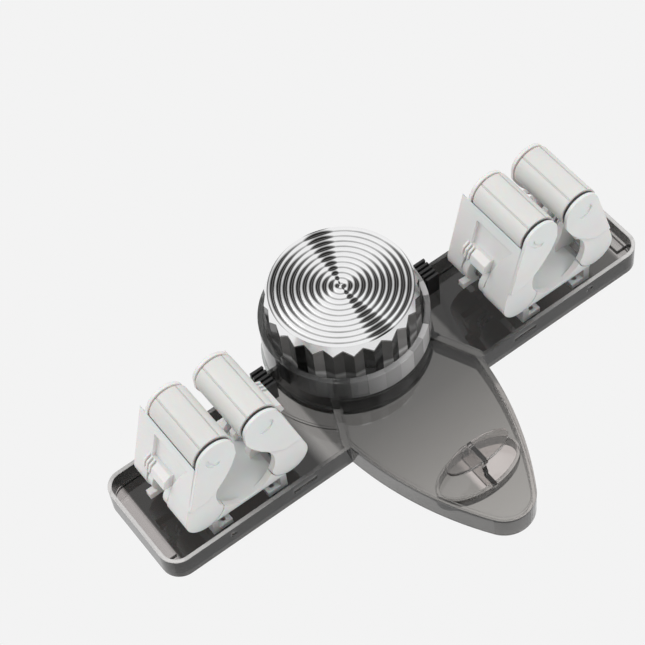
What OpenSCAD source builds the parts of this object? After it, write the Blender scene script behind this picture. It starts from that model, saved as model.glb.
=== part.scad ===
// Wall rack for two mop or broom handles, held by a twist-lock suction cup.
// Origin: centre of the suction face, on the wall. +X runs along the arms, +Y into the wall, +Z up.
// Heights called n are measured out of the wall. Lengths called t are measured down from the knob axis.

/* [Arms] */
// Distance from the knob axis to the end of an arm
arm_half = 117.5; // [112:0.5:126]
// How far the lower edge of the arms lies below the knob axis
arm_low = 46.5; // [45.5:0.5:50]
// How far the upper edge of the arms lies above the knob axis
arm_high = 3; // [2:0.5:8]
// Radius of the outer corners of the arms
arm_corner = 8; // [4:0.5:10]
// Thickness of the moulded walls
wall_t = 1.6; // [1.2:0.1:2]
// Height of the rim of the arms above the wall
rim_n = 11; // [10:0.5:12]
// Height of the top of the tray floor
floor_n = 2.8; // [2.8:0.1:3.4]
// Thickness of the tray floor
floor_t = 1.2; // [1:0.1:1.4]
// Height of the raised ledge at the end of each tray
ledge_n = 5; // [3.6:0.2:7]
// Length of that ledge
ledge_len = 6; // [3:0.5:7]
// Radius of the ring rib behind the trays
ring_rib_r = 42; // [40:0.5:44]
// Width of that rib
ring_rib_w = 1; // [0.8:0.1:1.4]
// Height of that rib
ring_rib_h = 0.8; // [0.4:0.1:1]
// Height of the slots in the lower edge above the wall
slot_n = 5.9; // [5:0.1:6.5]
// Width of the long slot in the lower edge
slot_len = 11; // [6:1:14]
// Height of the slots in the lower edge
slot_h = 1.8; // [1.2:0.1:2.4]
// Distance of the long slots from the ends of the arms
slot_in = 62.5; // [59:0.5:65]
// Distance of the short slots from the ends of the arms
pip_in = 28.5; // [22:0.5:37]
// Width of the short slots
pip_len = 2.5; // [2:0.5:4]

/* [Tongue] */
// Half width of the tongue where it is widest
tongue_half = 34; // [30:0.5:36]
// How far below the knob axis it is widest
tongue_wide_t = 27; // [24:1:30]
// Radius of its curved sides
tongue_side_r = 145; // [130:5:160]
// Radius of its tip
tongue_tip_r = 12.5; // [10:0.5:15]
// How far the front panel lies under the rim
panel_drop = 1; // [0.5:0.1:1.6]
// Width of the rim round the front panel
tongue_rim = 2; // [1.6:0.1:3]
// How far its shoulders lie above the lower edge of the arms
shoulder_up = 2.5; // [2:0.5:4]
// Half width of the neck where the tongue meets the collar
neck_half = 24; // [22:0.5:27]

/* [Hook] */
// How far the hook lies below the knob axis
hook_t = 84; // [80:1:88]
// Width of the oval pocket behind the hook
pocket_w = 36; // [30:1:38]
// Height of that pocket
pocket_h = 17.6; // [14:0.4:19]
// Depth of that pocket under the panel
pocket_deep = 5.7; // [4:0.1:6.5]
// Thickness of the wall round that pocket
pocket_wall = 1.2; // [1:0.1:1.6]
// Width of the oval head of the hook
head_w = 29; // [24:1:32]
// Height of that head
head_h = 10; // [8:0.5:12]
// Height of the front of the head above the wall
head_n = 22; // [19:0.5:24]
// Thickness of the head and the web
hook_plate = 2; // [1.6:0.1:2.4]
// How far the web reaches past the pocket at each end
tab_len = 1.6; // [1:0.2:2.4]
// How far those ends stand above the panel
tab_h = 0.8; // [0.4:0.1:1]
// Play between the web and its slots
hook_fit = 0.05; // [0.02:0.01:0.1]

/* [Collar and knob] */
// Outer radius of the collar
collar_r = 34.6; // [34:0.1:36]
// Height of the collar above the wall
collar_n = 22.2; // [18:0.2:25]
// Gap between the knob and the collar
knob_gap = 1.2; // [0.8:0.1:1.6]
// Thickness of the collar wall
collar_t = 2.4; // [1.6:0.1:2.6]
// Thickness of the floor inside the collar
inner_floor_t = 2; // [1.6:0.1:2.4]
// Number of flutes round the knob
flutes = 24; // [16:1:32]
// Depth of the flutes
flute_deep = 1.2; // [0.8:0.1:1.6]
// Angle of the first ridge between flutes
flute_turn = 13.1; // [0:0.1:15]
// Height of the top of the knob above the wall
knob_n = 39.4; // [37:0.2:42]
// Radius of the flat face of the metal disc
face_r = 29; // [27:0.5:29.5]
// Height of the bevel round that face
bevel_h = 4.2; // [3:0.2:5]
// Thickness of the metal disc
cap_t = 0.8; // [0.6:0.1:1]
// Number of rings turned into the face
face_rings = 11; // [7:1:13]
// Height of those rings
ring_h = 0.35; // [0.2:0.05:0.5]
// Thickness of the walls of the knob
knob_wall = 2.2; // [1.8:0.1:3]
// Thickness of the ribs inside the knob
knob_rib = 1.6; // [1.2:0.2:2]
// Thickness of the hub round the nut
hub_wall = 3; // [2.4:0.2:3.6]

/* [Locking screw] */
// Radius of the suction cup
cup_r = 35.5; // [33:0.5:36]
// Thickness of the middle of the cup
cup_t = 2.6; // [2:0.1:2.8]
// Thickness of the lip of the cup
lip_t = 1.2; // [0.8:0.1:1.4]
// Length of the thin lip of the cup
lip_len = 4.5; // [3:0.5:5]
// Length of the slope behind that lip
lip_slope = 3; // [2:0.5:4]
// Gap between the cup and what it moves past
cup_gap = 0.3; // [0.25:0.05:0.5]
// Radius of the boss in the middle of the cup
cup_boss_r = 8; // [7:0.5:9]
// Height of that boss
cup_boss_n = 6; // [5.5:0.1:6.5]
// Radius of the stud
stud_r = 3; // [2.5:0.1:3.5]
// Radius of the flange moulded into the cup
flange_r = 6; // [5:0.1:6.5]
// Thickness of that flange
flange_t = 1.4; // [1:0.1:1.8]
// Height of the underside of that flange
flange_n = 1.8; // [1.4:0.1:2]
// Height of the free end of the stud
stud_n = 29.5; // [28:0.5:31]
// Play of the stud in its guide
stud_play = 0.05; // [0.02:0.01:0.1]
// Outer radius of the guide tube
guide_r = 7; // [6:0.1:8]
// Height of the guide tube above the wall
guide_n = 14; // [13:0.5:15]
// Width of the spokes that carry it
spoke_w = 3; // [2:0.5:4]
// Thickness of those spokes
spoke_t = 2; // [1.5:0.1:2.5]
// Thickness of the thrust washer
washer_t = 1; // [0.8:0.1:1.5]
// Outer radius of the thrust washer
washer_r = 10; // [8:0.5:12]
// Height of the nut in the knob
nut_h = 8; // [6:0.5:9]
// Width of that nut across its corners
nut_w = 12; // [10:0.2:13]
// Gap between that nut and the locknut
locknut_gap = 2.5; // [1.5:0.5:3]
// Thickness of the locknut
locknut_h = 3; // [2:0.5:3.5]

/* [Clips] */
// Distance of each clip from the end of its arm
clip_in = 40.8; // [38:0.1:42]
// Diameter of the handle that a clip holds
handle_d = 26; // [24:0.5:27]
// Gap between that handle and the cradle
cradle_gap = 0.5; // [0.3:0.1:0.7]
// Distance of the upper end of a clip below the knob axis
clip_top = 5.5; // [5:0.5:8]
// Distance of its lower end below the knob axis
clip_end = 42.4; // [41:0.1:43]
// Height of the underside of a clip above the wall
clip_n = 13; // [12.5:0.1:14]
// Thickness of the base of a clip
base_t = 1.6; // [1.4:0.1:2]
// Distance of a jaw pivot from the middle of the clip
pivot_x = 19.7; // [19.4:0.1:21]
// Radius of the round heel of a jaw
heel_r = 8.5; // [8:0.1:9]
// Distance of a roller axis from the middle of the clip
roller_x = 10.4; // [10:0.1:11]
// Height of a roller axis above the wall
roller_n = 55.9; // [55:0.1:58]
// Radius of a roller
roller_r = 8.6; // [8:0.1:9]
// Gap between a roller and the plates beside it
roller_end = 1.2; // [0.8:0.1:1.5]
// Gap between a roller and the flank behind it
roller_gap = 0.3; // [0.25:0.05:0.6]
// Thickness of the plates that carry a roller
plate_t = 1.4; // [1.2:0.1:1.8]
// How much smaller the hump of these plates is than the roller
hump_in = 0.5; // [0.3:0.1:0.8]
// Radius of the inner edge of a raised plate
petal_r = 37.2; // [36.8:0.1:37.6]
// Middle of that arc, across from the middle of the clip
petal_x = 37.3; // [37:0.1:37.6]
// Height of the middle of that arc
petal_n = 63.7; // [63:0.1:64.5]
// Height of the lower end of a raised plate
petal_low = 32; // [31:0.2:34]
// Thickness of the webs under them
web_t = 2.6; // [2:0.1:3]
// Thickness of the flank of a jaw
flank_t = 2; // [1.6:0.1:2.2]
// Length of the closed part of the flank at the lower end, beside the roller
near_len = 5.4; // [5:0.1:7]
// Length of that part beside the pin
heel_len = 14.4; // [13.6:0.1:15]
// Length of the closed part of the flank at the upper end
far_len = 8.5; // [8:0.5:10]
// Distance of the upper roller plate from the upper end
far_set = 3.5; // [3:0.1:4]
// Height of the top of the window in the flank
window_n = 50; // [46:0.5:52]
// Thickness of the panel in the window
pane_t = 1.6; // [1.2:0.1:1.8]
// Thickness of the side of the window
frame_w = 2; // [1:0.2:3]
// How far the block over the spring stands out of the flank
hood_out = 2.4; // [1.6:0.2:3]
// Length of that block along the flank
hood_len = 6.5; // [5:0.5:8]
// Width of the grooves in it
hood_groove = 0.9; // [0.7:0.1:1.1]
// Radius of the jaw pins
pin_r = 1.5; // [1.2:0.1:1.8]
// Radius of the roller pins
axle_r = 1.6; // [1.2:0.1:1.8]
// Play of a turning piece on its pin
pin_play = 0.05; // [0.02:0.01:0.1]
// Width of the hinge lugs of the base
lug_w = 3; // [2.6:0.1:3.2]
// How far the side tab of the base stands out from the heel
tab_out = 1.6; // [1:0.2:2.4]
// Thickness of that tab
tab_t = 3; // [2.4:0.2:3.6]
// Gap between a jaw and what it swings past
swing_gap = 0.4; // [0.3:0.05:0.6]
// Distance of the inner side of a foot from the middle of the clip
foot_x = 14.5; // [13.5:0.1:15]
// Thickness of the leg of a foot
foot_t = 3; // [2.4:0.1:3.2]
// Length of a foot along the clip
foot_len = 5; // [4:0.5:6]
// Distance of a foot from the end of the clip
foot_set = 2.5; // [2:0.1:3]
// Length of the toe of a foot
toe_len = 6; // [5:0.5:7]
// Thickness of that toe
toe_t = 2.6; // [2.2:0.1:3]
// Radius of the screws in the toes
screw_r = 1.1; // [0.9:0.1:1.3]
// Radius of their heads
screw_head_r = 2.4; // [2:0.1:2.6]
// Thickness of their heads
screw_head_t = 1.1; // [0.8:0.1:1.3]
// Gap round the screws in the tray floor
screw_gap = 0.1; // [0.05:0.05:0.2]
// Depth of the grooves along a roller
groove = 0.3; // [0.2:0.05:0.4]
// Depth of the crescent in the hump
dimple_deep = 0.5; // [0.3:0.1:0.7]
// Plastic left over the ends of the pins
pin_cover = 0.6; // [0.4:0.1:0.8]
// Gap at the blind end of a jaw pin
pin_end = 0.2; // [0.1:0.1:0.4]

/* [Springs] */
// Thickness of the spring wire
wire_d = 1.2; // [0.9:0.1:1.3]
// Radius of the middle of a curl
curl_r = 4.4; // [4:0.1:4.6]
// Number of full curls
curls = 2; // [2:1:3]
// Length of the leg on the jaw
jaw_leg = 10; // [8:0.5:11]
// Length of the leg on the base
base_leg = 5.4; // [4:0.2:5.6]
// Gap between the curls and the panel over them
curl_gap = 0.3; // [0.25:0.05:0.4]

/* [Side blocks] */
// Distance of a ribbed block from the knob axis
block_x = 38; // [37:0.5:40]
// Width of a block
block_w = 6; // [5:0.5:7]
// How far a block reaches above the arms
block_out = 2; // [1.5:0.5:4]
// How far a block reaches into the tray
block_in = 8; // [6:0.5:12]
// Height of the top of a block above the wall
block_n = 13.5; // [12:0.5:17]
// Number of ribs on a block
block_ribs = 4; // [3:1:6]
// Depth of the grooves between them
block_groove = 2; // [1:0.2:3]

/* [Hidden] */
$fn = 96;

// Sides of an ellipse.
oval_sides = 48;
// Steps along the curved edge of a window.
window_steps = 8;
// Overshoot of cutting shapes.
eps = 1;
// The least overshoot, where a cut runs out on a slope.
skim = 0.01;
// Chamfer of the end of the stud.
chamfer = 0.5;

// Tongue: the side arcs touch the tip circle, so the place of the tip follows.
side_off = tongue_side_r - tongue_half;
tip_t = tongue_wide_t + sqrt(pow(tongue_side_r - tongue_tip_r, 2) - pow(side_off, 2));
panel_n = rim_n - panel_drop;
pocket_n = panel_n - pocket_deep;
web_half = pocket_h / 2 + tab_len;
// Level at which the tongue leaves the arms.
shoulder_t = arm_low - shoulder_up;

// Knob, from the collar inwards.
bore_r = collar_r - collar_t;
ridge_r = bore_r - knob_gap;
valley_r = ridge_r - flute_deep;
inner_floor_top = cup_t + cup_gap + inner_floor_t;
skirt_n = inner_floor_top + knob_gap;
spoke_n = cup_boss_n + 2 * cup_gap;
hub_n = guide_n + washer_t;
hub_r = nut_w / 2 + hub_wall;
nut_top = hub_n + nut_h;
well_r = nut_w / 2 + knob_gap;
well_top = knob_n - cap_t - knob_wall;
locknut_n = nut_top + locknut_gap;
ring_pitch = face_r / (face_rings + 0.25);

// Clip: the heel of a jaw is concentric with its pin, and its flank touches heel and roller.
clip_x = arm_half - clip_in;
pivot_n = clip_n + heel_r;
base_top = clip_n + base_t;
handle_r = handle_d / 2;
handle_n = base_top + handle_r;
cradle_r = handle_r + cradle_gap;
lean = atan2(pivot_x - roller_x, roller_n - pivot_n);
plate_near = clip_end - plate_t;
plate_far = clip_top + far_set;
roller_t0 = plate_far + plate_t + roller_end;
roller_t1 = plate_near - roller_end;
window_t0 = clip_top + far_len;
window_t1 = clip_end - near_len;
heel_t = clip_end - heel_len;
lug_far = window_t0 + swing_gap;
lug_near = heel_t - swing_gap - lug_w;
lug_r = heel_r - swing_gap;
web_near = plate_near - web_t;
pin_t0 = plate_far - pin_cover;
pin_t1 = plate_near - pin_cover;
axle_t0 = plate_far + pin_cover;
axle_t1 = clip_end - pin_cover;
pane_d = curl_r + wire_d / 2 + curl_gap;
window_u = flank_u(window_n);
hood_u = heel_r + hood_len;
pane_u = sqrt(pow(heel_r + curl_gap, 2) - pow(pane_d, 2));
foot_near = clip_end - foot_set - foot_len;
foot_far = clip_top + foot_set;
spring_t0 = lug_far + lug_w + swing_gap + wire_d / 2;
curl_pitch = (lug_near - swing_gap - wire_d / 2 - spring_t0) / curls;

// Draws a front view outline, x to the right and y up, from height n0 to n1 above the wall.
module plan(n0, n1) {
    rotate([90, 0, 0]) translate([0, 0, n0]) linear_extrude(n1 - n0) children();
}

// Draws an end view outline, x to the right and n out of the wall, from t0 to t1 below the axis.
module profile(t0, t1) {
    translate([0, 0, -t1]) linear_extrude(t1 - t0) mirror([0, 1]) children();
}

// Draws a side view outline, t down and n out of the wall, from x0 to x1.
module side(x0, x1) {
    translate([x0, 0, 0]) rotate([0, 90, 0]) linear_extrude(x1 - x0) mirror([0, 1]) children();
}

// Draws a turned piece. Its outline is radius and height above the wall.
module turned() {
    rotate([90, 0, 0]) rotate_extrude() children();
}

module rounded_box(w, h, r) {
    square([w - 2 * r, h], center = true);
    square([w, h - 2 * r], center = true);
    for (sx = [-1, 1], sy = [-1, 1]) translate([sx * (w / 2 - r), sy * (h / 2 - r)]) circle(r);
}

// Ellipse of width w and height h.
module oval(w, h) {
    polygon([for (k = [0:oval_sides - 1]) let (a = 360 * k / oval_sides) [w / 2 * cos(a), h / 2 * sin(a)]]);
}

// Points along an arc about c, from angle a0 to a1.
function arc(c, r, a0, a1, n) = [for (k = [0:n]) let (a = a0 + (a1 - a0) * k / n) c + r * [cos(a), sin(a)]];

// Body

module arms_plan(inset) {
    translate([0, (arm_high - arm_low) / 2])
        rounded_box(2 * (arm_half - inset), arm_low + arm_high - 2 * inset, arm_corner - inset);
}

// The tongue: a neck from the collar, then side arcs from the shoulders to the tip circle.
module tongue_plan(inset) {
    side_a = -asin((shoulder_t - tongue_wide_t) / (tongue_side_r - inset));
    tip_a = -atan2(tip_t - tongue_wide_t, side_off);
    right = concat(
        [[neck_half - inset, 0], [neck_half - inset, -neck_half]],
        arc([-side_off, -tongue_wide_t], tongue_side_r - inset, side_a, tip_a, 16),
        arc([0, -tip_t], tongue_tip_r - inset, tip_a, -90, 8));
    polygon(concat(right, [for (k = [len(right) - 2:-1:0]) [-right[k][0], right[k][1]]]));
}

// Open tray of the arm on side s, clear of the tongue and the collar.
module tray_plan(s) {
    difference() {
        arms_plan(wall_t);
        tongue_plan(-wall_t);
        circle(collar_r);
        translate([s > 0 ? -arm_half : 0, -arm_low]) square([arm_half, arm_low + arm_high]);
    }
}

// Panel of the tongue, inside its rim and clear of the collar.
module panel_plan(inset) {
    difference() {
        tongue_plan(inset);
        circle(collar_r);
    }
}

module body_shell() color("#6b6866") {
    difference() {
        union() {
            plan(0, rim_n) arms_plan(0);
            plan(0, rim_n) tongue_plan(0);
            plan(0, collar_n) circle(collar_r);
        }
        for (s = [-1, 1]) {
            plan(floor_n, rim_n + eps) tray_plan(s);
            plan(-eps, floor_n - floor_t) tray_plan(s);
            translate([s * (arm_half - slot_in), 0, 0]) edge_slot(slot_len);
            translate([s * (arm_half - pip_in), 0, 0]) edge_slot(pip_len);
            clip_place(s) toe_screws() cylinder(h = floor_n + eps, r = screw_r + screw_gap);
            plan(floor_n, rim_n + eps) block_plan(s);
        }
        plan(panel_n, rim_n + eps) panel_plan(tongue_rim);
        plan(-eps, panel_n - wall_t) panel_plan(wall_t);
        plan(pocket_n, rim_n + eps) pocket_plan();
        plan(-eps, floor_n - floor_t) circle(cup_r + cup_gap);
        plan(-eps, cup_t + cup_gap) circle(cup_r - lip_len + cup_gap);
        plan(inner_floor_top, collar_n + eps) circle(bore_r);
        plan(-eps, inner_floor_top + eps) circle(cup_boss_r + cup_gap);
    }
    pocket_cup();
    stud_guide();
    for (s = [-1, 1]) {
        tray_ledge(s);
        ring_rib(s);
    }
}

// Slot through the lower edge of an arm.
module edge_slot(len) {
    plan(slot_n, slot_n + slot_h)
        translate([0, -arm_low]) square([len, 4 * wall_t], center = true);
}

// Raised ledge on the floor at the end of a tray.
module tray_ledge(s) {
    plan(floor_n - floor_t / 2, ledge_n)
        translate([s * (arm_half - wall_t / 2 - ledge_len / 2), (arm_high - arm_low) / 2])
            square([ledge_len, arm_low + arm_high - 2 * arm_corner], center = true);
}

// Shallow ring rib behind a tray, broken by the tongue.
module ring_rib(s) {
    plan(floor_n - floor_t - ring_rib_h, floor_n - floor_t / 2) intersection() {
        tray_plan(s);
        difference() {
            circle(ring_rib_r + ring_rib_w);
            circle(ring_rib_r);
        }
    }
}

// Tube that guides the stud, carried by spokes over the boss of the cup.
module stud_guide() {
    difference() {
        union() {
            plan(spoke_n, guide_n) circle(guide_r);
            for (k = [0:2]) {
                plan(spoke_n, spoke_n + spoke_t) rotate(90 + 120 * k)
                    translate([0, -spoke_w / 2]) square([cup_boss_r + cup_gap + spoke_t, spoke_w]);
                plan(inner_floor_top - inner_floor_t / 2, spoke_n + spoke_t) rotate(90 + 120 * k)
                    translate([cup_boss_r + cup_gap, -spoke_w / 2]) square([spoke_t, spoke_w]);
            }
        }
        plan(0, guide_n + eps) circle(stud_r + stud_play);
    }
}

// Opening of the pocket behind the hook, with a slot at each end for the web of the hook.
module pocket_plan() {
    translate([0, -hook_t]) {
        oval(pocket_w, pocket_h);
        square([hook_plate + 2 * hook_fit, 2 * (web_half + hook_fit)], center = true);
    }
}

module pocket_cup() {
    difference() {
        plan(pocket_n - pocket_wall, panel_n) translate([0, -hook_t])
            oval(pocket_w + 2 * pocket_wall, pocket_h + 2 * pocket_wall);
        plan(pocket_n, rim_n) pocket_plan();
    }
}

// T-shaped hook: an oval head on a web that is waisted between head and pocket.
module utility_hook() color("#77746f") {
    plan(head_n - hook_plate, head_n) translate([0, -hook_t]) oval(head_w, head_h);
    side(-hook_plate / 2, hook_plate / 2) difference() {
        union() {
            translate([hook_t - web_half, pocket_n]) square([2 * web_half, panel_n + tab_h - pocket_n]);
            translate([hook_t - head_h / 2, panel_n]) square([head_h, head_n - hook_plate / 2 - panel_n]);
        }
        for (s = [-1, 1])
            translate([hook_t + s * pocket_h / 2, (panel_n + head_n - tab_h) / 2]) circle(pocket_h / 3.6);
    }
}

// Ribbed blocks

// Place of the block on side s, across the upper edge of the arm.
module block_plan(s) {
    translate([s * (block_x + block_w / 2), arm_high - (block_in - block_out) / 2])
        square([block_w, block_in + block_out], center = true);
}

module side_block(s) color("#1b1b1b") difference() {
    plan(floor_n, block_n) block_plan(s);
    step = (block_in + block_out) / (block_ribs + 0.5);
    for (k = [0:block_ribs - 1])
        plan(block_n - block_groove, block_n + eps)
            translate([s * (block_x + block_w / 2), arm_high + block_out - (k + 0.75) * step])
                square([block_w + eps, step / 2], center = true);
}

// Locking screw

module suction_cup() color("#d7d9d8") difference() {
    turned() polygon([
        [0, 0], [cup_r, 0], [cup_r, lip_t], [cup_r - lip_len, lip_t], [cup_r - lip_len - lip_slope, cup_t],
        [cup_boss_r, cup_t], [cup_boss_r, cup_boss_n], [0, cup_boss_n]]);
    plan(flange_n, cup_boss_n + eps) circle(stud_r + cup_gap);
    plan(flange_n, flange_n + flange_t + cup_gap) circle(flange_r + cup_gap);
}

module stud() color("#b9bcbf") turned() polygon([
    [0, flange_n], [flange_r, flange_n], [flange_r, flange_n + flange_t], [stud_r, flange_n + flange_t],
    [stud_r, stud_n - chamfer], [stud_r - chamfer, stud_n], [0, stud_n]]);

module stud_locknut() color("#c9b26a") difference() {
    plan(locknut_n, locknut_n + locknut_h) circle(nut_w / 2, $fn = 6);
    plan(locknut_n - eps, locknut_n + locknut_h + eps) circle(stud_r);
}

module thrust_washer() color("#c4c6c8") difference() {
    plan(guide_n, hub_n) circle(washer_r);
    plan(guide_n - eps, hub_n + eps) circle(stud_r + cup_gap);
}

module knob_nut() color("#c9b26a") difference() {
    plan(hub_n, nut_top) circle(nut_w / 2, $fn = 6);
    plan(hub_n - eps, nut_top + eps) circle(stud_r + stud_play);
}

// Knob

// Round of ridges and valleys, shared by the knob and its metal disc.
module flute_plan() {
    step = 180 / flutes;
    polygon([for (k = [0:2 * flutes - 1]) let (r = k % 2 == 0 ? ridge_r : valley_r)
        [r * cos(k * step - flute_turn), r * sin(k * step - flute_turn)]]);
}

// Cone of the bevel, moved in along the axis by drop.
module bevel_turn(drop) {
    slope = (ridge_r - face_r) / bevel_h;
    turned() polygon([
        [0, skirt_n], [ridge_r + eps, skirt_n], [ridge_r + eps, knob_n - bevel_h - drop - eps / slope],
        [face_r, knob_n - drop], [0, knob_n - drop]]);
}

module knob_body() color("#2e2d2c") difference() {
    union() {
        difference() {
            intersection() {
                plan(skirt_n, knob_n) flute_plan();
                bevel_turn(cap_t);
            }
            plan(skirt_n - eps, well_top) circle(valley_r - knob_wall);
        }
        plan(hub_n, well_top + knob_wall / 2) circle(hub_r);
        for (k = [0:5]) plan(hub_n + knob_rib, well_top + knob_wall / 2) rotate(60 * k)
            translate([hub_r - knob_rib, -knob_rib / 2])
                square([valley_r - knob_wall - hub_r + 2 * knob_rib, knob_rib]);
    }
    plan(hub_n - eps, nut_top) circle(nut_w / 2, $fn = 6);
    plan(nut_top - eps, well_top) circle(well_r);
}

module knob_cap() color("#c8c9ca") difference() {
    intersection() {
        plan(skirt_n, knob_n) flute_plan();
        bevel_turn(0);
    }
    bevel_turn(cap_t);
    turned() for (k = [0:face_rings - 1]) translate([k * ring_pitch, 0]) polygon([
        [ring_pitch * 0.1, knob_n + skim], [ring_pitch * 0.5, knob_n - ring_h],
        [ring_pitch * 0.9, knob_n + skim]]);
}

// Clips. Each is drawn about its own middle, with the jaw on the side of +x.

module clip_place(s) {
    translate([s * clip_x, 0, 0]) children();
}

// Layer drawn along the flank: d out from the line through pin and roller, u up from the pin.
module layer(t0, t1) {
    profile(t0, t1) translate([pivot_x, pivot_n]) rotate(lean) children();
}

// Turns a point of the end view into the d and u of a layer.
function in_flank(x, n) = [
    (x - pivot_x) * cos(lean) + (n - pivot_n) * sin(lean),
    (n - pivot_n) * cos(lean) - (x - pivot_x) * sin(lean)];
hump_u = norm([pivot_x - roller_x, roller_n - pivot_n]);

// Height along the flank that lies at height n above the wall.
function flank_u(n) = (n - pivot_n - heel_r * sin(lean)) / cos(lean);

// Feet stand on the tray floor, and a screw from behind holds each toe.
module toe_screws() {
    for (sx = [-1, 1], t = [foot_far + foot_len / 2, foot_near + foot_len / 2])
        translate([sx * (foot_x - toe_len / 2), 0, -t]) rotate([90, 0, 0]) children();
}

module clip_screws() color("#a9abad") for (s = [-1, 1]) clip_place(s) toe_screws() {
    translate([0, 0, floor_n - floor_t - screw_head_t]) cylinder(h = screw_head_t, r = screw_head_r);
    translate([0, 0, floor_n - floor_t - eps / 2]) cylinder(h = floor_t + toe_t, r = screw_r);
}

module foot_profile() {
    translate([foot_x - toe_len, floor_n]) square([toe_len + foot_t, toe_t]);
    translate([foot_x, floor_n]) square([foot_t, base_top - floor_n]);
}

// Half of the base on the side of +x.
module base_half() {
    difference() {
        union() {
            profile(clip_top, plate_near) translate([0, clip_n]) square([pivot_x, base_t]);
            profile(plate_far, plate_far + web_t) saddle_plan();
            profile(web_near, plate_near) saddle_plan();
            profile(foot_far, foot_far + foot_len) foot_profile();
            profile(foot_near, foot_near + foot_len) foot_profile();
        }
        for (t = [[clip_top - eps, window_t0 + swing_gap], [heel_t - swing_gap, clip_end + eps]])
            profile(t[0], t[1]) translate([pivot_x, pivot_n]) circle(heel_r + swing_gap);
    }
    difference() {
        for (t = [lug_far, lug_near]) profile(t, t + lug_w) {
            translate([pivot_x, pivot_n]) circle(lug_r);
            translate([pivot_x / 2, clip_n]) square([pivot_x / 2, heel_r]);
        }
        profile(clip_top, clip_end) translate([0, handle_n]) circle(cradle_r);
        profile(clip_top, clip_end) translate([pivot_x, pivot_n]) circle(pin_r);
    }
    profile(lug_far, lug_far + lug_w)
        translate([pivot_x, pivot_n - lug_r]) square([heel_r + tab_out, tab_t]);
}

// End wall of the base, between the plate and the cradle.
module saddle_plan() {
    difference() {
        translate([0, clip_n]) square([pivot_x, heel_r]);
        translate([0, handle_n]) circle(cradle_r);
    }
}

module clip_base(s) color("#d9d8d6") clip_place(s) difference() {
    union() {
        base_half();
        mirror([1, 0, 0]) base_half();
    }
    toe_screws() translate([0, 0, floor_n - eps]) cylinder(h = toe_t + eps, r = screw_r);
}

// Puts a jaw, or what it carries, on side c of the clip on side s.
module jaw_place(s, c) {
    clip_place(s) mirror([c < 0 ? 1 : 0, 0, 0]) children();
}

// Raised end plate: a hump round the roller axis, with an arc as its inner edge.
module petal() {
    hump_r = roller_r - hump_in;
    translate([0, hump_u]) circle(hump_r);
    intersection() {
        translate(in_flank(petal_x, petal_n)) circle(petal_r);
        polygon([
            in_flank(roller_x - hump_r, roller_n), in_flank(roller_x - hump_r, petal_low),
            [heel_r, flank_u(petal_low)], [hump_r, hump_u], [0, hump_u]]);
    }
}

// Recessed web between the raised plate and the heel.
module web() {
    circle(heel_r);
    polygon([
        [0, 0], [heel_r, 0], [heel_r, 0.6 * hump_u],
        in_flank(0, handle_n + 0.54 * handle_r), in_flank(0, handle_n), in_flank(cradle_r, pivot_n)]);
}

// Outer skin of the jaw, from straight under the pin up to the roller axis.
module skin() {
    difference() {
        union() {
            circle(heel_r);
            strip_plan(heel_r - flank_t, heel_r, 0, hump_u);
        }
        circle(heel_r - flank_t);
        rotate(-lean) translate([-2 * heel_r, -2 * heel_r]) square([2 * heel_r, 4 * heel_r]);
    }
}

module jaw(s, c) color("#e9e9e8") jaw_place(s, c) difference() {
    union() {
        layer(plate_near, clip_end) petal();
        layer(plate_far, plate_far + plate_t) petal();
        layer(web_near, plate_near) web();
        layer(plate_far, plate_far + web_t) web();
        difference() {
            layer(heel_t, plate_near) skin();
            flank_cut() polygon(concat(
                [[-heel_t + eps, swing_gap], [-heel_t + eps, window_u]],
                [for (k = [window_steps:-1:0]) let (f = k / window_steps)
                    [-window_edge(f), swing_gap + f * (window_u - swing_gap)]]));
        }
        layer(clip_top, window_t0) skin();
        layer(clip_top, plate_near) strip_plan(heel_r - flank_t, heel_r, window_u, hump_u);
        layer(window_t0, window_t1) strip_plan(pane_d, pane_d + pane_t, pane_u, window_u);
        layer(heel_t, window_t1) strip_plan(pane_d, pane_d + pane_t, pane_u / 2, window_u);
        layer(window_t0, window_t0 + frame_w) strip_plan(pane_d, heel_r, pane_u, window_u);
        hood();
    }
    profile(plate_far + plate_t, plate_near) translate([roller_x, roller_n]) circle(roller_r + roller_gap);
    profile(clip_top - eps, plate_far) translate([roller_x, roller_n]) circle(roller_r + roller_gap);
    profile(axle_t0, axle_t1) translate([roller_x, roller_n]) circle(axle_r);
    profile(pin_t0, pin_t1) translate([pivot_x, pivot_n]) circle(pin_r + pin_play);
    profile(clip_top - eps, clip_end + eps) translate([0, handle_n]) circle(cradle_r);
    profile(clip_end - dimple_deep, clip_end + eps) dimple();
}

// Lower edge of the window: its t at the fraction f of the window's height.
function window_edge(f) = heel_t + swing_gap + (window_t1 - heel_t - swing_gap) * pow(f, 2);

// Cuts straight in through the flank. The outline is -t to the right and u up.
module flank_cut() {
    translate([pivot_x, -pivot_n, 0]) rotate([0, -90, 180 - lean]) linear_extrude(heel_r + eps) children();
}

// Grooved block over the spring.
module hood() {
    difference() {
        layer(window_t0, heel_t) polygon([
            [pane_d, heel_r], [heel_r + hood_out, heel_r], [heel_r + hood_out, hood_u - hood_out],
            [heel_r, hood_u], [pane_d, hood_u]]);
        for (k = [1:3]) layer(window_t0 + (2 * k - 1) * hood_groove, window_t0 + 2 * k * hood_groove)
            strip_plan(heel_r, 2 * heel_r, heel_r - eps, hood_u + eps);
    }
}

// Rectangle in a layer. Strips that share an edge are drawn with the same number for it.
module strip_plan(d0, d1, u0, u1) {
    polygon([[d0, u0], [d1, u0], [d1, u1], [d0, u1]]);
}

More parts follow.
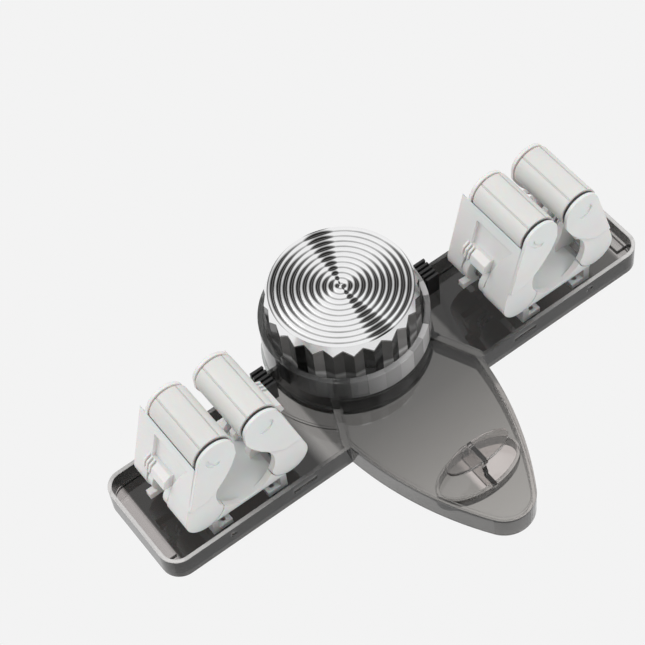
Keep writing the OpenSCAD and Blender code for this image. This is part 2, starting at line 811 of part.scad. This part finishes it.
// Crescent pressed into the hump of the near plate.
module dimple() {
    translate([roller_x, roller_n]) intersection() {
        difference() {
            circle(0.55 * roller_r);
            translate([-0.15 * roller_r, 0.15 * roller_r]) circle(0.55 * roller_r);
        }
        rotate(-45) translate([0, -0.4 * roller_r]) square([2 * roller_r, 0.8 * roller_r]);
    }
}

module roller(s, c) color("#dededc") jaw_place(s, c) profile(roller_t0, roller_t1)
    translate([roller_x, roller_n]) difference() {
        circle(roller_r);
        circle(axle_r + pin_play);
        for (k = [-1, 1, 5, 7]) rotate(90 + 30 * k) translate([roller_r, 0])
            square([2 * groove, 2 * groove], center = true);
    }

module jaw_pin(s, c) color("#a9abad") jaw_place(s, c)
    profile(pin_t0, pin_t1 - pin_end) translate([pivot_x, pivot_n]) circle(pin_r);

module roller_pin(s, c) color("#a9abad") jaw_place(s, c)
    profile(axle_t0, axle_t1) translate([roller_x, roller_n]) circle(axle_r);

// Torsion spring

// Its coil runs from the leg on the base at angle a0 to the leg on the flank at angle a1.
spring_a0 = -70;
spring_a1 = lean + 360 * curls;
spring_rings = 14 * curls + 2;
function curl_point(f) = let (a = spring_a0 + f * (spring_a1 - spring_a0)) [
    pivot_x + curl_r * cos(a),
    -pivot_n - curl_r * sin(a),
    -spring_t0 - f * curls * curl_pitch];
function leg_point(a, d) = [-d * sin(a), -d * cos(a), 0];
spring_path = concat(
    [for (d = [base_leg, wire_d]) curl_point(0) - leg_point(spring_a0, d)],
    [for (k = [0:spring_rings]) curl_point(k / spring_rings)],
    [for (d = [wire_d, jaw_leg]) curl_point(1) + leg_point(spring_a1, d)]);

// Six-sided tube along a path.
module wire(path, r) {
    n = len(path);
    dirs = [for (k = [0:n - 1])
        let (v = path[min(k + 1, n - 1)] - path[max(k - 1, 0)]) v / norm(v)];
    points = [for (k = [0:n - 1])
        let (u0 = cross(dirs[k], [0, 0, 1]), u = u0 / norm(u0), w = cross(dirs[k], u))
        for (j = [0:5]) path[k] + r * (cos(60 * j) * u + sin(60 * j) * w)];
    faces = concat(
        [[for (j = [0:5]) j]],
        [for (k = [0:n - 2], j = [0:5]) [6 * k + j, 6 * k + 6 + j, 6 * k + (j + 1) % 6]],
        [for (k = [0:n - 2], j = [0:5]) [6 * k + (j + 1) % 6, 6 * k + 6 + j, 6 * k + 6 + (j + 1) % 6]],
        [[for (j = [5:-1:0]) 6 * (n - 1) + j]]);
    polyhedron(points, faces);
}

module jaw_spring(s, c) color("#a7a9ab") jaw_place(s, c) wire(spring_path, wire_d / 2);

body_shell();
side_block(-1);  // side_block_left
side_block(1);  // side_block_right
utility_hook();
clip_screws();
suction_cup();
stud();
stud_locknut();
thrust_washer();
knob_nut();
knob_body();
knob_cap();
clip_base(-1);  // clip_base_left
clip_base(1);  // clip_base_right
jaw(-1, -1);  // jaw_left_outer
jaw(-1, 1);  // jaw_left_inner
jaw(1, -1);  // jaw_right_inner
jaw(1, 1);  // jaw_right_outer
roller(-1, -1);  // roller_left_outer
roller(-1, 1);  // roller_left_inner
roller(1, -1);  // roller_right_inner
roller(1, 1);  // roller_right_outer
jaw_pin(-1, -1);  // jaw_pin_left_outer
jaw_pin(-1, 1);  // jaw_pin_left_inner
jaw_pin(1, -1);  // jaw_pin_right_inner
jaw_pin(1, 1);  // jaw_pin_right_outer
roller_pin(-1, -1);  // roller_pin_left_outer
roller_pin(-1, 1);  // roller_pin_left_inner
roller_pin(1, -1);  // roller_pin_right_inner
roller_pin(1, 1);  // roller_pin_right_outer
jaw_spring(-1, -1);  // jaw_spring_left_outer
jaw_spring(-1, 1);  // jaw_spring_left_inner
jaw_spring(1, -1);  // jaw_spring_right_inner
jaw_spring(1, 1);  // jaw_spring_right_outer
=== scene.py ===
import math

import bpy
from mathutils import Matrix, Vector


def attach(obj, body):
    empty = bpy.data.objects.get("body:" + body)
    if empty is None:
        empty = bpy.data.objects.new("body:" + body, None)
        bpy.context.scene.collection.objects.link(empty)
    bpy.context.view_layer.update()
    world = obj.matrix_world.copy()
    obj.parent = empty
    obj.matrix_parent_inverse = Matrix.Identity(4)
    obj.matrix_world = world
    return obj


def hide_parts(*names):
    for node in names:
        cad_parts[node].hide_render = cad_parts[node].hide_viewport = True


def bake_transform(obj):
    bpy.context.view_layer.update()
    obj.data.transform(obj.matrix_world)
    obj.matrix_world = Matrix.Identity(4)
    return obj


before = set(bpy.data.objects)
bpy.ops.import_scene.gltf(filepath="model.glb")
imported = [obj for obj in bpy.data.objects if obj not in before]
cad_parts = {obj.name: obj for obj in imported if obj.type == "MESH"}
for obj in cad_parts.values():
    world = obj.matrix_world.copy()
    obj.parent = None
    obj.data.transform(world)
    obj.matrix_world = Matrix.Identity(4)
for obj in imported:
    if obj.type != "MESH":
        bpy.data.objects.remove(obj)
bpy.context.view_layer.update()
MM = 0.001
TAGS = ("left_outer", "left_inner", "right_inner", "right_outer")

# Camera, fitted to the outlines in the photograph. Its focal length is in image widths.
CAMERA_POS = Vector((-0.24183, -0.68513, -0.39852))
CAMERA_RIGHT = Vector((0.79842, 0.08025, -0.59673))
CAMERA_UP = Vector((0.5293, -0.56595, 0.63209))
IMAGE_WIDTH = 645
FOCAL = 2034.45 / IMAGE_WIDTH
SENSOR = 36.0
CLIP_NEAR = 0.05
CLIP_FAR = 20

# Pale backdrop of the photograph, as the camera sees it, and the strength of the light from all around.
BACKDROP = (0.896, 0.896, 0.896, 1)
AROUND_STRENGTH = 0.80

# Floor: half its side and its height, in metres.
FLOOR_HALF = 4.0
FLOOR_Z = -0.8
FLOOR_COLOUR = (0.86, 0.86, 0.86, 1)
FLOOR_ROUGHNESS = 0.9

# Clear plastics: index of refraction, level of their highlights, and the body's share of clearness.
ACRYLIC_IOR = 1.49
ACRYLIC_SPECULAR = 0.4
BODY_CLEARNESS = 0.96

# Most values of a noise lie between these two.
NOISE_LOW = 0.3
NOISE_HIGH = 0.7
BUMP_DETAIL = 2
EDGE_SAMPLES = 4

# How sharply one paint gives way to the next on the body and the disc.
SHARP = 0.1 * MM

# Clip, in mm: its middle along the arm, then pins as (across from that middle, out from the wall).
CLIP_X = 76.7
JAW_PIN = (19.7, 21.5)
ROLLER_PIN = (10.4, 55.9)
LEAN = math.atan2(JAW_PIN[0] - ROLLER_PIN[0], ROLLER_PIN[1] - JAW_PIN[1])

# Spring, in mm: the same path as the CAD wire. Its curls start below the knob axis and run down.
WIRE_R = 0.59
WIRE_SIDES = 12
CURL_R = 4.4
CURLS = 2
CURL_STEPS = 96
SPRING_START = 18.4
SPRING_LENGTH = 5.2
BASE_LEG_ANGLE = math.radians(-70)
BASE_LEG = (5.4, 3.0, 1.2)
JAW_LEG = (1.2, 5.0, 10.0)

# Dark ring of painted shade in the gap at a roller's lower end: its outline as (depth below the knob axis,
# radius), in mm.
GAP_SHADE_OUTLINE = ((39.95, 2.0), (39.95, 7.7), (40.15, 8.0), (40.75, 8.0), (40.95, 7.7), (40.95, 2.0))
GAP_SHADE_SIDES = 64

# Suction cup: its outline as (radius, height above the wall), in mm.
CUP_OUTLINE = (
    (6.35, 1.9), (6.35, 3.4), (3.35, 3.5), (3.35, 5.6), (3.7, 5.95), (7.5, 5.95), (7.95, 5.5),
    (7.95, 3.3), (8.6, 2.65), (12.0, 2.5), (13.0, 2.1), (14.0, 2.5), (20.0, 2.5), (21.0, 2.1),
    (22.0, 2.5), (27.6, 2.5), (29.5, 1.9), (31.2, 1.15), (34.6, 0.9), (35.45, 0.35), (35.3, 0.05),
    (33.0, 0.02), (28.0, 0.3), (16.0, 0.5), (7.0, 0.6))
CUP_SIDES = 96


def collection():
    return bpy.context.scene.collection


def make_camera():
    data = bpy.data.cameras.new("camera")
    data.sensor_width = SENSOR
    data.lens = FOCAL * SENSOR
    data.clip_start = CLIP_NEAR
    data.clip_end = CLIP_FAR
    cam = bpy.data.objects.new("camera", data)
    right = CAMERA_RIGHT.normalized()
    up = (CAMERA_UP - right * CAMERA_UP.dot(right)).normalized()
    back = right.cross(up)
    cam.matrix_world = Matrix((
        (right.x, up.x, back.x, CAMERA_POS.x),
        (right.y, up.y, back.y, CAMERA_POS.y),
        (right.z, up.z, back.z, CAMERA_POS.z),
        (0, 0, 0, 1)))
    collection().objects.link(cam)
    bpy.context.scene.camera = cam


def make_light(name, pos, size, power):
    """A square lamp that points at the knob."""
    data = bpy.data.lights.new(name, "AREA")
    data.shape = "RECTANGLE"
    data.size = data.size_y = size
    data.energy = power
    light = bpy.data.objects.new(name, data)
    light.location = pos
    light.rotation_euler = (-Vector(pos)).to_track_quat("-Z", "Y").to_euler()
    collection().objects.link(light)


def make_world():
    """The camera, gloss and clear plastic see the backdrop; all else gets plain white light."""
    world = bpy.data.worlds.new("studio")
    bpy.context.scene.world = world
    world.use_nodes = True
    nodes, links = world.node_tree.nodes, world.node_tree.links
    nodes.clear()
    out = nodes.new("ShaderNodeOutputWorld")
    seen = nodes.new("ShaderNodeBackground")
    seen.inputs["Color"].default_value = BACKDROP
    seen.inputs["Strength"].default_value = 1.0
    lit = nodes.new("ShaderNodeBackground")
    lit.inputs["Color"].default_value = (1, 1, 1, 1)
    lit.inputs["Strength"].default_value = AROUND_STRENGTH
    path = nodes.new("ShaderNodeLightPath")
    fac = path.outputs["Is Camera Ray"]
    for ray in ("Is Transmission Ray", "Is Glossy Ray"):
        either = nodes.new("ShaderNodeMath")
        either.operation = "MAXIMUM"
        links.new(fac, either.inputs[0])
        links.new(path.outputs[ray], either.inputs[1])
        fac = either.outputs[0]
    mix = nodes.new("ShaderNodeMixShader")
    links.new(fac, mix.inputs["Fac"])
    links.new(lit.outputs[0], mix.inputs[1])
    links.new(seen.outputs[0], mix.inputs[2])
    links.new(mix.outputs[0], out.inputs["Surface"])


def make_floor():
    mesh = bpy.data.meshes.new("floor")
    r, z = FLOOR_HALF, FLOOR_Z
    mesh.from_pydata([(-r, -r, z), (r, -r, z), (r, r, z), (-r, r, z)], [], [(0, 1, 2, 3)])
    floor = bpy.data.objects.new("floor", mesh)
    collection().objects.link(floor)
    mat = bpy.data.materials.new("floor")
    mat.use_nodes = True
    bsdf = mat.node_tree.nodes["Principled BSDF"]
    bsdf.inputs["Base Color"].default_value = FLOOR_COLOUR
    bsdf.inputs["Roughness"].default_value = FLOOR_ROUGHNESS
    mesh.materials.append(mat)


class Shader:
    """A material with one Principled shader and a few helpers to feed it."""

    def __init__(self, name, **values):
        self.mat = bpy.data.materials.new(name)
        self.mat.use_nodes = True
        self.nodes = self.mat.node_tree.nodes
        self.links = self.mat.node_tree.links
        self.bsdf = self.nodes["Principled BSDF"]
        self.coord = self.nodes.new("ShaderNodeTexCoord").outputs["Object"]
        for key, value in values.items():
            self.bsdf.inputs[key.replace("_", " ")].default_value = value

    def feed(self, name, source):
        self.links.new(source, self.bsdf.inputs[name])

    def part(self, vector, name):
        node = self.nodes.new("ShaderNodeSeparateXYZ")
        self.links.new(vector, node.inputs[0])
        return node.outputs[name]

    def axis(self, name):
        return self.part(self.coord, name)

    def normal(self, name):
        return self.part(self.nodes.new("ShaderNodeNewGeometry").outputs["True Normal"], name)

    def math(self, operation, a, b=None):
        node = self.nodes.new("ShaderNodeMath")
        node.operation = operation
        for socket, value in ((node.inputs[0], a), (node.inputs[1], b)):
            if isinstance(value, (int, float)):
                socket.default_value = value
            elif value is not None:
                self.links.new(value, socket)
        return node.outputs[0]

    def product(self, *factors):
        result = factors[0]
        for factor in factors[1:]:
            result = self.math("MULTIPLY", result, factor)
        return result

    def angle(self):
        """Angle about the knob axis, from +X towards +Z."""
        return self.math("ARCTAN2", self.axis("Z"), self.axis("X"))

    def radius(self):
        """Distance from the knob axis."""
        squares = [self.math("POWER", self.axis(name), 2.0) for name in "XZ"]
        return self.math("SQRT", self.math("ADD", *squares))

    def near(self, turn, degrees):
        """Cosine of the angle between turn and a direction given in degrees."""
        return self.math("COSINE", self.math("SUBTRACT", turn, math.radians(degrees)))

    def span(self, source, low, high, to_low=0.0, to_high=1.0):
        """Maps low to high onto to_low to to_high, and stops at both ends."""
        node = self.nodes.new("ShaderNodeMapRange")
        ends = (("From Min", low), ("From Max", high), ("To Min", to_low), ("To Max", to_high))
        for key, value in ends:
            node.inputs[key].default_value = value
        self.links.new(source, node.inputs["Value"])
        return node.outputs["Result"]

    def above(self, source, edge, blur=SHARP):
        """1 where source is above edge and 0 where it is below."""
        return self.span(source, edge - blur, edge + blur)

    def below(self, source, edge, blur=SHARP):
        """1 where source is below edge and 0 where it is above."""
        return self.span(source, edge + blur, edge - blur)

    def noise(self, scale, detail=3.0, stretch=None):
        node = self.nodes.new("ShaderNodeTexNoise")
        node.inputs["Scale"].default_value = scale
        node.inputs["Detail"].default_value = detail
        coord = self.coord
        if stretch:
            mapping = self.nodes.new("ShaderNodeMapping")
            mapping.inputs["Scale"].default_value = stretch
            self.links.new(coord, mapping.inputs["Vector"])
            coord = mapping.outputs[0]
        self.links.new(coord, node.inputs["Vector"])
        return node.outputs["Fac"]

    def waver(self, scale, low, high, stretch=None):
        """A number that wavers from low to high."""
        return self.span(self.noise(scale, stretch=stretch), NOISE_LOW, NOISE_HIGH, low, high)

    def mottle(self, scale, low, high):
        """A colour that wavers from low to high."""
        return self.ramp(self.noise(scale), [(NOISE_LOW, low), (NOISE_HIGH, high)])

    def facets(self, count, turn):
        """A random value for each of the facets round the knob axis."""
        turned = self.math("ADD", self.angle(), turn)
        index = self.math("FLOOR", self.span(turned, -math.pi, math.pi, 0.0, count))
        shade = self.nodes.new("ShaderNodeTexWhiteNoise")
        shade.noise_dimensions = "1D"
        self.links.new(index, shade.inputs["W"])
        return shade.outputs["Value"]

    def ramp(self, source, stops):
        node = self.nodes.new("ShaderNodeValToRGB")
        ramp = node.color_ramp
        ramp.elements[0].position, ramp.elements[0].color = stops[0][0], (*stops[0][1], 1)
        ramp.elements[1].position, ramp.elements[1].color = stops[-1][0], (*stops[-1][1], 1)
        for place, colour in stops[1:-1]:
            ramp.elements.new(place).color = (*colour, 1)
        self.links.new(source, node.inputs["Fac"])
        return node.outputs["Color"]

    def mix(self, fac, a, b):
        node = self.nodes.new("ShaderNodeMix")
        node.data_type = "RGBA"
        self.links.new(fac, node.inputs[0])
        self.links.new(a, node.inputs[6])
        self.links.new(b, node.inputs[7])
        return node.outputs[2]

    def finish(self, scale, strength, distance, edge=0.0):
        """Adds a fine bump, and edges that look rounded with the radius edge. Gives the material."""
        node = self.nodes.new("ShaderNodeBump")
        node.inputs["Strength"].default_value = strength
        node.inputs["Distance"].default_value = distance
        self.links.new(self.noise(scale, BUMP_DETAIL), node.inputs["Height"])
        if edge:
            soft = self.nodes.new("ShaderNodeBevel")
            soft.samples = EDGE_SAMPLES
            soft.inputs["Radius"].default_value = edge
            self.links.new(soft.outputs[0], node.inputs["Normal"])
        self.feed("Normal", node.outputs[0])
        return self.mat


def clear_plastic(name, **values):
    s = Shader(name, Metallic=0, IOR=ACRYLIC_IOR, Specular_IOR_Level=ACRYLIC_SPECULAR, **values)
    s.feed("Roughness", s.waver(60, 0.03, 0.07))
    return s


def smoke_body():
    """Smoke grey plastic with painted light and shade: the tongue is painted darker towards the knob, and
    the trays are painted dark, darker near the knob.
    """
    s = clear_plastic("smoke_body")
    x, y, z = s.axis("X"), s.axis("Y"), s.axis("Z")
    across = s.math("ABSOLUTE", x)
    tip_z, root_z = -112 * MM, -34 * MM
    arm_end, collar_end = 117 * MM, 36 * MM
    arm_low, arm_root = -46.5 * MM, 34.25 * MM

    # Faces along the wall, with painted shade: the tongue from tip to root, darker towards the knob; the
    # trays from the left end to the right end, dark with painted shade and reflection of the knob, paler at
    # the ends.
    tongue_shaded = s.ramp(s.span(z, tip_z, root_z), [
        (0.0, (0.41, 0.395, 0.375)), (0.35, (0.33, 0.318, 0.302)), (0.6, (0.235, 0.226, 0.215)),
        (0.85, (0.15, 0.146, 0.14)), (1.0, (0.125, 0.122, 0.118))])
    tray_shaded = s.ramp(s.span(x, -arm_end, arm_end), [
        (0.0, (0.46, 0.43, 0.42)), (0.026, (0.46, 0.43, 0.42)), (0.030, (0.04, 0.038, 0.036)),
        (0.31, (0.03, 0.029, 0.028)), (0.335, (0.30, 0.29, 0.28)), (0.64, (0.03, 0.029, 0.028)),
        (0.80, (0.04, 0.039, 0.038)), (0.968, (0.12, 0.115, 0.11)), (0.972, (0.46, 0.44, 0.43))])
    on_arm = s.product(s.above(z, arm_low, 1 * MM), s.above(across, arm_root, 0.75 * MM))
    floors = s.mix(on_arm, tongue_shaded, tray_shaded)

    # Painted light: the floor of the hook's pocket, on the right of its slot, is painted pale like the
    # backdrop seen through it in shade.
    pocket_y, pocket_z, slot_x = -6.5 * MM, -56 * MM, -3 * MM
    in_pocket = s.product(
        s.above(y, pocket_y, 0.3 * MM), s.below(z, pocket_z, 1 * MM), s.above(x, slot_x, 1 * MM))
    floors = s.mix(in_pocket, floors, s.mottle(60, (0.60, 0.55, 0.53), (0.66, 0.61, 0.59)))

    # Painted shade: faces that stand out of the wall, whose normal has less than half its length along Y,
    # are painted darker.
    tongue_wall_shade = s.mottle(45, (0.12, 0.117, 0.113), (0.18, 0.176, 0.17))
    tray_wall_shade = s.mottle(45, (0.022, 0.021, 0.020), (0.05, 0.049, 0.047))
    upright = s.below(s.math("ABSOLUTE", s.normal("Y")), 0.5, 0.1)
    colour = s.mix(upright, floors, s.mix(on_arm, tongue_wall_shade, tray_wall_shade))

    # Painted highlight: pale, less clear rims, more so towards the arms' ends.
    rim_foot, rim_top, pale_from, pale_to, rim_highlight_veil = -10.8 * MM, -11.2 * MM, 40 * MM, 90 * MM, 0.5
    rim_highlight = s.product(s.below(y, rim_foot), s.above(y, rim_top), s.span(across, pale_from, pale_to))
    colour = s.mix(rim_highlight, colour, s.mottle(80, (0.74, 0.73, 0.72), (0.84, 0.83, 0.82)))

    # Painted light and shade: the collar is painted darker on the left and lighter towards the right, with
    # painted reflection streaks in bands of two kinds, faint and strong, that make it less clear.
    collar_foot, band_count, band_turn = -11.3 * MM, 30, 0.05
    faint_streak, strong_streak, left_share = 0.12, 0.60, 0.3
    on_collar = s.below(y, collar_foot)
    collar_shading = s.ramp(s.span(x, -collar_end, collar_end), [
        (0.0, (0.10, 0.10, 0.10)), (0.25, (0.50, 0.50, 0.50)), (0.6, (0.85, 0.84, 0.84)),
        (1.0, (0.92, 0.91, 0.91))])
    streak_bands = s.span(s.facets(band_count, band_turn), 0.42, 0.62, faint_streak, strong_streak)
    reflection_streaks = s.product(on_collar, streak_bands, s.span(x, -25 * MM, 20 * MM, left_share, 1.0))
    s.feed("Base Color", s.mix(on_collar, colour, collar_shading))
    highlight_veil = s.math("ADD", reflection_streaks, s.product(rim_highlight, rim_highlight_veil))
    s.feed("Transmission Weight", s.math("SUBTRACT", BODY_CLEARNESS, highlight_veil))
    return s.finish(scale=260, strength=0.05, distance=0.0003, edge=0.0007)


def smoke_hook():
    """The hook is clearer than the tongue that it lies in."""
    s = clear_plastic("smoke_hook", Transmission_Weight=0.95)
    s.feed("Base Color", s.mottle(45, (0.55, 0.53, 0.52), (0.64, 0.62, 0.60)))
    return s.finish(scale=260, strength=0.05, distance=0.0003, edge=0.0005)


def smoke_knob():
    """Dark glossy skirt with painted reflections: each facet is painted lighter or darker at random, and
    much lighter behind the collar.
    """
    s = Shader("smoke_knob", Metallic=0, IOR=ACRYLIC_IOR)
    # Two facets for each of the knob's 24 flutes, turned as the flutes are, each with a painted reflection.
    facet_reflection = s.facets(48, math.radians(13.1))
    open_facet_reflections = s.ramp(facet_reflection, [
        (0.0, (0.004, 0.004, 0.004)), (0.45, (0.022, 0.022, 0.021)), (0.8, (0.08, 0.078, 0.076)),
        (1.0, (0.20, 0.195, 0.19))])
    # Painted light: behind the collar, where it shades them, the facets are painted much lighter.
    behind_collar_reflections = s.ramp(facet_reflection, [
        (0.0, (0.01, 0.01, 0.01)), (0.45, (0.10, 0.10, 0.10)), (0.75, (0.35, 0.35, 0.345)),
        (1.0, (0.75, 0.745, 0.74))])
    collar_top = -22.5 * MM
    s.feed("Base Color", s.mix(s.above(s.axis("Y"), collar_top, 1 * MM), open_facet_reflections, behind_collar_reflections))
    s.feed("Roughness", s.waver(90, 0.10, 0.18))
    return s.finish(scale=900, strength=0.06, distance=0.0002, edge=0.0003)


def turned_metal():
    """Turned rings with painted reflection: dark crescents that are wide on two sides, and two narrow dark
    streaks across them.
    """
    s = Shader("turned_face", Metallic=1.0, Anisotropic=0.6)
    disc_r, rings, disc_y = 29.0 * MM, 11.25, -39 * MM
    dark_reflections_at, dark_streaks_at = 140, (73, -92)
    # Half widths of a ring's dark part, as shares of the ring.
    narrow, wide, least, streak_width, uneven = -0.12, 0.42, 0.07, 0.46, 0.03
    turn = s.angle()
    phase = s.math("FRACT", s.math("DIVIDE", s.radius(), disc_r / rings))
    from_groove = s.math("ABSOLUTE", s.math("SUBTRACT", phase, 0.5))
    away = s.math("SUBTRACT", turn, math.radians(dark_reflections_at))
    two_sides = s.math("COSINE", s.math("MULTIPLY", away, 2.0))
    width = s.math("MAXIMUM", s.span(two_sides, -1.0, 1.0, narrow, wide), least)
    for at in dark_streaks_at:
        width = s.math("MAXIMUM", width, s.span(s.near(turn, at), 0.965, 0.999, 0.0, streak_width))
    width = s.math("ADD", width, s.waver(120, -uneven, uneven))
    dark = s.span(s.math("SUBTRACT", width, from_groove), -0.14, 0.16)
    on_face = s.below(s.axis("Y"), disc_y)
    # Painted reflection: bright metal between the grooves, nearly black where the crescents and streaks
    # fall.
    s.feed("Base Color", s.ramp(s.product(dark, on_face), [
        (0.0, (0.93, 0.93, 0.935)), (0.5, (0.46, 0.46, 0.46)), (1.0, (0.025, 0.024, 0.023))]))
    s.feed("Roughness", s.waver(300, 0.16, 0.24))
    tangent = s.nodes.new("ShaderNodeTangent")
    tangent.direction_type = "RADIAL"
    tangent.axis = "Y"
    s.feed("Tangent", tangent.outputs[0])
    return s.finish(scale=1500, strength=0.05, distance=0.0001)


def white_plastic(name, base, rough):
    s = Shader(name, Metallic=0, IOR=1.46, Subsurface_Weight=0.3, Subsurface_Scale=0.004)
    dark = tuple(c * 0.94 for c in base)
    s.feed("Base Color", s.mottle(35, dark, base))
    s.feed("Roughness", s.waver(120, rough, rough + 0.08))
    return s.finish(scale=1200, strength=0.06, distance=0.0002, edge=0.0005)


def black_plastic():
    s = Shader("black_block", Metallic=0)
    s.feed("Base Color", s.mottle(60, (0.008, 0.008, 0.008), (0.02, 0.02, 0.02)))
    s.feed("Roughness", s.waver(120, 0.3, 0.42))
    return s.finish(scale=1500, strength=0.2, distance=0.0002, edge=0.0004)


def plain_metal(name, low, high):
    s = Shader(name, Metallic=1.0)
    s.feed("Base Color", s.mottle(200, low, high))
    s.feed("Roughness", s.waver(400, 0.22, 0.34, stretch=(1, 1, 0.1)))
    return s.finish(scale=2000, strength=0.1, distance=0.0001)


def soft_cup():
    s = Shader("clear_rubber", Metallic=0, IOR=1.43, Transmission_Weight=0.35)
    s.feed("Base Color", s.mottle(50, (0.55, 0.57, 0.56), (0.66, 0.68, 0.67)))
    s.feed("Roughness", s.waver(80, 0.2, 0.3))
    return s.finish(scale=500, strength=0.1, distance=0.0003)


def paint(mat, *nodes):
    for node in nodes:
        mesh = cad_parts[node].data
        mesh.materials.clear()
        mesh.materials.append(mat)


def add_mesh(name, verts, faces, mat):
    mesh = bpy.data.meshes.new(name)
    mesh.from_pydata([tuple(v) for v in verts], [], faces)
    mesh.validate()
    piece = bpy.data.objects.new(name, mesh)
    collection().objects.link(piece)
    mesh.materials.append(mat)
    for face in mesh.polygons:
        face.use_smooth = True
    return piece


def ring_faces(first, second, sides):
    """Quads between two rings of vertices, given by the index of each ring's first one."""
    for j in range(sides):
        k = (j + 1) % sides
        yield first + j, first + k, second + k, second + j


def circle(sides):
    return [2 * math.pi * j / sides for j in range(sides)]


def make_cup(mat):
    """Suction cup: a thin lip, a stepped dome and a ring that rises round the boss."""
    verts, faces, count = [], [], len(CUP_OUTLINE)
    for a in circle(CUP_SIDES):
        verts += [(r * math.cos(a) * MM, -n * MM, r * math.sin(a) * MM) for r, n in CUP_OUTLINE]
    for i in range(CUP_SIDES):
        faces += ring_faces(i * count, (i + 1) % CUP_SIDES * count, count)
    cup = add_mesh("cup_skin", verts, faces, mat)
    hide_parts("suction_cup")
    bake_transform(cup)


def add_in_clip(name, tag, verts, faces, mat):
    """Adds a mesh that is drawn in mm for the jaw on the +X side of a clip, about the clip's middle."""
    side = -1 if tag.startswith("left") else 1
    across = side if tag.endswith("outer") else -side
    verts = [((side * CLIP_X + across * v[0]) * MM, v[1] * MM, v[2] * MM) for v in verts]
    return add_mesh(name + tag, verts, faces, mat)


def curl_point(f):
    """Point at the fraction f of the curls, which go from the leg on the base to the leg on the jaw."""
    a = BASE_LEG_ANGLE + f * (LEAN + CURLS * 2 * math.pi - BASE_LEG_ANGLE)
    return Vector((
        JAW_PIN[0] + CURL_R * math.cos(a),
        -JAW_PIN[1] - CURL_R * math.sin(a),
        -SPRING_START - f * SPRING_LENGTH))


def leg_point(a, d):
    return Vector((-d * math.sin(a), -d * math.cos(a), 0))


def spring_mesh():
    path = [curl_point(0) - leg_point(BASE_LEG_ANGLE, d) for d in BASE_LEG]
    path += [curl_point(k / CURL_STEPS) for k in range(CURL_STEPS + 1)]
    path += [curl_point(1) + leg_point(LEAN, d) for d in JAW_LEG]
    verts, faces, up = [], [], Vector((0, 0, 1))
    for i, p in enumerate(path):
        along = (path[min(i + 1, len(path) - 1)] - path[max(i - 1, 0)]).normalized()
        u = along.cross(up).normalized()
        w = along.cross(u)
        verts += [p + WIRE_R * (math.cos(a) * u + math.sin(a) * w) for a in circle(WIRE_SIDES)]
        if i:
            # Each quad runs the other way round from those of the cup and the dark gap rings.
            quads = ring_faces((i - 1) * WIRE_SIDES, i * WIRE_SIDES, WIRE_SIDES)
            faces += [(a, d, c, b) for a, b, c, d in quads]
    ends = range(WIRE_SIDES), range(len(verts) - WIRE_SIDES, len(verts))
    return verts, faces + [tuple(ends[0]), tuple(reversed(ends[1]))]


def make_springs(mat):
    """A wire spring for each jaw, with a leg on the base, curls round the jaw pin and a leg on the jaw."""
    verts, faces = spring_mesh()
    for tag in TAGS:
        spring = add_in_clip("spring_wire_", tag, verts, faces, mat)
        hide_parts("jaw_spring_" + tag)
        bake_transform(spring)


def make_gap_shade_rings(mat):
    """Dark rings of painted shade in the gaps between the rollers and their lower plates."""
    verts, faces, rings = [], [], len(GAP_SHADE_OUTLINE)
    for depth, r in GAP_SHADE_OUTLINE:
        verts += [(ROLLER_PIN[0] + r * math.cos(a), -ROLLER_PIN[1] - r * math.sin(a), -depth)
                  for a in circle(GAP_SHADE_SIDES)]
    for k in range(rings):
        faces += ring_faces(k * GAP_SHADE_SIDES, (k + 1) % rings * GAP_SHADE_SIDES, GAP_SHADE_SIDES)
    for tag in TAGS:
        ring = add_in_clip("gap_shade_ring_", tag, verts, faces, mat)
        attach(ring, "jaw_" + tag)


make_camera()
make_world()
make_light("key", pos=(-0.7, -0.9, 0.9), size=0.7, power=5.5)
make_light("fill", pos=(0.4, -0.9, -0.7), size=0.8, power=5)
make_floor()

white = white_plastic("clip_white", (0.80, 0.80, 0.79), 0.32)
roller = white_plastic("roller_white", (0.70, 0.70, 0.68), 0.42)
steel = plain_metal("steel", (0.55, 0.56, 0.57), (0.68, 0.69, 0.70))
brass = plain_metal("brass", (0.62, 0.48, 0.22), (0.74, 0.60, 0.32))
black = black_plastic()
paint(smoke_body(), "body_shell")
paint(smoke_hook(), "utility_hook")
paint(smoke_knob(), "knob_body")
paint(turned_metal(), "knob_cap")
paint(black, "side_block_left", "side_block_right")
paint(white, "clip_base_left", "clip_base_right")
paint(steel, "clip_screws", "stud", "thrust_washer")
paint(brass, "knob_nut", "stud_locknut")
for tag in TAGS:
    paint(white, "jaw_" + tag)
    paint(roller, "roller_" + tag)
    paint(steel, "jaw_pin_" + tag, "roller_pin_" + tag)
make_cup(soft_cup())
make_springs(steel)
make_gap_shade_rings(black)
bpy.context.scene.view_settings.view_transform = "Standard"
